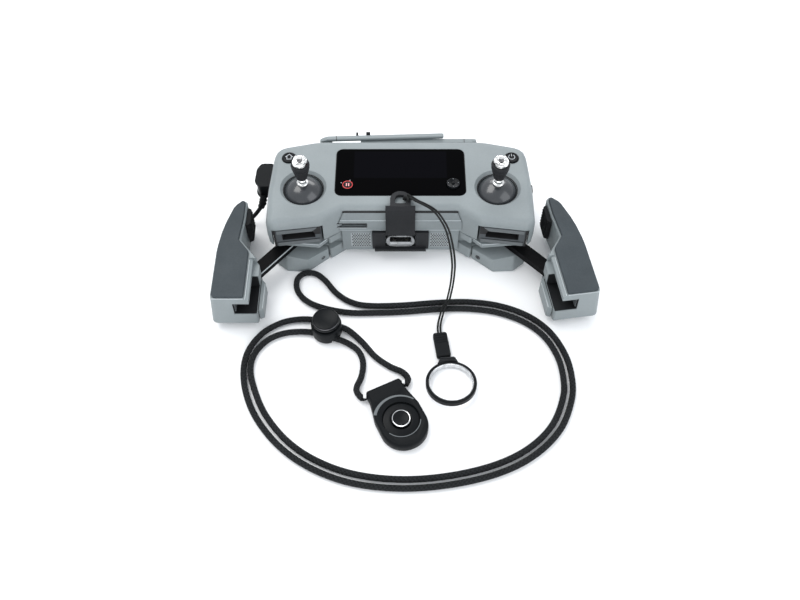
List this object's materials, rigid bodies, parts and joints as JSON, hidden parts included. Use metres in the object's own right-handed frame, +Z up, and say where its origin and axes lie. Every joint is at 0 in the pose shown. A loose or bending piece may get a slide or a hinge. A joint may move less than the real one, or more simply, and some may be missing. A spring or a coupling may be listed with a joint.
{
  "type": "radio transmitter controller",
  "caption": "Two-stick handheld radio transmitter lying flat, with fold-out phone grips, folded antennas, a small screen, a lanyard bracket with a ring tether, and a neck cord in front.",
  "frame": {"origin": "centre of the housing's flat underside", "axes": "+X to the right hand across both grips, +Y to the rear edge with the antennas, +Z up through the screen and along the upright sticks"},
  "size_m": [0.2088, 0.2047, 0.0614],
  "materials": {
    "shell_grey": "fine matte",
    "panel_grey": "fine matte",
    "cover_slate": "fine grained",
    "pocket_rubber": "matte",
    "pad_rubber": "matte",
    "lead_rubber": "satin",
    "screen_glass": "mirror smooth",
    "button_black": "satin",
    "dome_gloss": "gloss",
    "bright_metal": "bright",
    "arm_metal": "black with bright edges",
    "bracket_plastic": "matte",
    "cord_fabric": "braided",
    "board_green": "solder mask",
    "inner_grey": "moulded"
  },
  "bodies": {
    "root": {"top_shell": "shell_grey", "bottom_shell": "shell_grey", "front_panel": "panel_grey", "antenna_block": "shell_grey", "screen_glass": "screen_glass", "display_module": "inner_grey", "main_board": "board_green", "battery_pack": "inner_grey", "usb_port": "bright_metal", "lanyard_bracket": "bracket_plastic", "lead_connector": "button_black", "phone_lead": "lead_rubber", "lead_plug": "button_black", "tether_cord": "cord_fabric", "tether_sleeve": "pad_rubber", "ring_clip": "bracket_plastic", "tether_ring": "bright_metal", "neck_cord": "cord_fabric", "cord_lock": "button_black", "buckle_body": "button_black", "stick_pocket_left": "pocket_rubber", "front_foot_left": "shell_grey", "gimbal_base_left": "inner_grey", "stick_pocket_right": "pocket_rubber", "front_foot_right": "shell_grey", "gimbal_base_right": "inner_grey"},
    "stick_left": {"stick_dome_left": "dome_gloss", "stick_shaft_left": "bright_metal", "stick_sleeve_left": "dome_gloss"},
    "stick_right": {"stick_dome_right": "dome_gloss", "stick_shaft_right": "bright_metal", "stick_sleeve_right": "dome_gloss"},
    "yoke_left": {"gimbal_yoke_left": "inner_grey"},
    "yoke_right": {"gimbal_yoke_right": "inner_grey"},
    "arm_left": {"grip_arm_left": "arm_metal"},
    "arm_right": {"grip_arm_right": "arm_metal"},
    "grip_left": {"grip_shell_left": "shell_grey", "grip_cover_left": "cover_slate", "grip_jaw_left": "shell_grey", "grip_pad_left": "pad_rubber"},
    "grip_right": {"grip_shell_right": "shell_grey", "grip_cover_right": "cover_slate", "grip_jaw_right": "shell_grey", "grip_pad_right": "pad_rubber"},
    "antenna_left": {"antenna_left": "shell_grey"},
    "antenna_right": {"antenna_right": "shell_grey"},
    "pause": {"pause_button": "button_black"},
    "five_way": {"five_way_button": "button_black"},
    "home": {"home_button": "button_black"},
    "power": {"power_button": "button_black"},
    "record": {"record_button": "button_black"},
    "shutter": {"shutter_button": "button_black"},
    "back_left": {"back_button_left": "button_black"},
    "back_right": {"back_button_right": "button_black"},
    "dial_left": {"dial_left": "pad_rubber"},
    "dial_right": {"dial_right": "pad_rubber"},
    "mode": {"mode_switch": "button_black"},
    "lock_button": {"cord_lock_button": "button_black"},
    "buckle_release": {"buckle_button": "button_black"}
  },
  "joints": [
    {"name": "stick_left_forward", "type": "hinge", "parent": "root", "child": "yoke_left", "pos_m": [-0.0537, -0.0032, 0.03], "axis": [1, 0, 0], "range_deg": [-22, 22], "stiffness_Nm_per_rad": 0.03},
    {"name": "stick_left_sideways", "type": "hinge", "parent": "yoke_left", "child": "stick_left", "pos_m": [-0.0537, -0.0032, 0.03], "axis": [0, 1, 0], "range_deg": [-22, 22], "stiffness_Nm_per_rad": 0.03},
    {"name": "stick_right_forward", "type": "hinge", "parent": "root", "child": "yoke_right", "pos_m": [0.0537, -0.0032, 0.03], "axis": [1, 0, 0], "range_deg": [-22, 22], "stiffness_Nm_per_rad": 0.03},
    {"name": "stick_right_sideways", "type": "hinge", "parent": "yoke_right", "child": "stick_right", "pos_m": [0.0537, -0.0032, 0.03], "axis": [0, 1, 0], "range_deg": [-22, 22], "stiffness_Nm_per_rad": 0.03},
    {"name": "arm_left_fold", "type": "hinge", "parent": "root", "child": "arm_left", "pos_m": [-0.0576, -0.0154, 0.0124], "axis": [0, 0, 1], "range_deg": [-3, 98.7], "deforming": ["cord_lock", "cord_lock_button"]},
    {"name": "grip_left_turn", "type": "hinge", "parent": "arm_left", "child": "grip_left", "pos_m": [-0.083, -0.046, 0.0124], "axis": [0, 0, 1], "range_deg": [-8.8, 0.6]},
    {"name": "arm_right_fold", "type": "hinge", "parent": "root", "child": "arm_right", "pos_m": [0.0576, -0.0154, 0.0124], "axis": [0, 0, 1], "range_deg": [-103.4, 1], "deforming": ["tether_cord"]},
    {"name": "grip_right_turn", "type": "hinge", "parent": "arm_right", "child": "grip_right", "pos_m": [0.08542, -0.04382, 0.0124], "axis": [0, 0, 1], "range_deg": [-0.1, 5.3]},
    {"name": "antenna_left_swing", "type": "hinge", "parent": "root", "child": "antenna_left", "pos_m": [-0.0446, 0.03575, 0.0368], "axis": [0, 0, 1], "range_deg": [0, 150]},
    {"name": "antenna_right_swing", "type": "hinge", "parent": "root", "child": "antenna_right", "pos_m": [0.0429, 0.03595, 0.0337], "axis": [0, 0, 1], "range_deg": [-150, 0]},
    {"name": "pause_press", "type": "slide", "parent": "root", "child": "pause", "axis": [0, 0, -1], "range_m": [0, 0.0008], "stiffness_N_per_m": 600},
    {"name": "five_way_press", "type": "slide", "parent": "root", "child": "five_way", "axis": [0, 0, -1], "range_m": [0, 0.0008], "stiffness_N_per_m": 600},
    {"name": "home_press", "type": "slide", "parent": "root", "child": "home", "axis": [0, 0, -1], "range_m": [0, 0.0008], "stiffness_N_per_m": 600},
    {"name": "power_press", "type": "slide", "parent": "root", "child": "power", "axis": [0, 0, -1], "range_m": [0, 0.0008], "stiffness_N_per_m": 600},
    {"name": "back_left_press", "type": "slide", "parent": "root", "child": "back_left", "axis": [0, 0, 1], "range_m": [0, 0.0008], "stiffness_N_per_m": 600},
    {"name": "back_right_press", "type": "slide", "parent": "root", "child": "back_right", "axis": [0, 0, 1], "range_m": [0, 0.0008], "stiffness_N_per_m": 600},
    {"name": "record_press", "type": "slide", "parent": "root", "child": "record", "axis": [0.226, -0.9741, 0], "range_m": [0, 0.0012], "stiffness_N_per_m": 600},
    {"name": "shutter_press", "type": "slide", "parent": "root", "child": "shutter", "axis": [-0.226, -0.9741, 0], "range_m": [0, 0.0012], "stiffness_N_per_m": 600},
    {"name": "dial_left_turn", "type": "hinge", "parent": "root", "child": "dial_left", "pos_m": [-0.05278, 0.02692, 0.0265], "axis": [0, 0, 1], "range_deg": [-30, 30], "stiffness_Nm_per_rad": 0.004},
    {"name": "dial_right_turn", "type": "hinge", "parent": "root", "child": "dial_right", "pos_m": [0.05278, 0.02692, 0.0265], "axis": [0, 0, 1], "continuous": true},
    {"name": "mode_slide", "type": "slide", "parent": "root", "child": "mode", "axis": [0, 1, 0], "range_m": [-0.003, 0.003]},
    {"name": "lock_press", "type": "slide", "parent": "root", "child": "lock_button", "axis": [0, 0, -1], "range_m": [0, 0.0011], "stiffness_N_per_m": 900},
    {"name": "buckle_press", "type": "slide", "parent": "root", "child": "buckle_release", "axis": [0, 0, -1], "range_m": [0, 0.0008], "stiffness_N_per_m": 900}
  ],
  "couplings": [
    {"joint": "grip_left_turn", "follows": "arm_left_fold", "ratio": -0.0881},
    {"joint": "grip_right_turn", "follows": "arm_right_fold", "ratio": -0.0503}
  ]
}
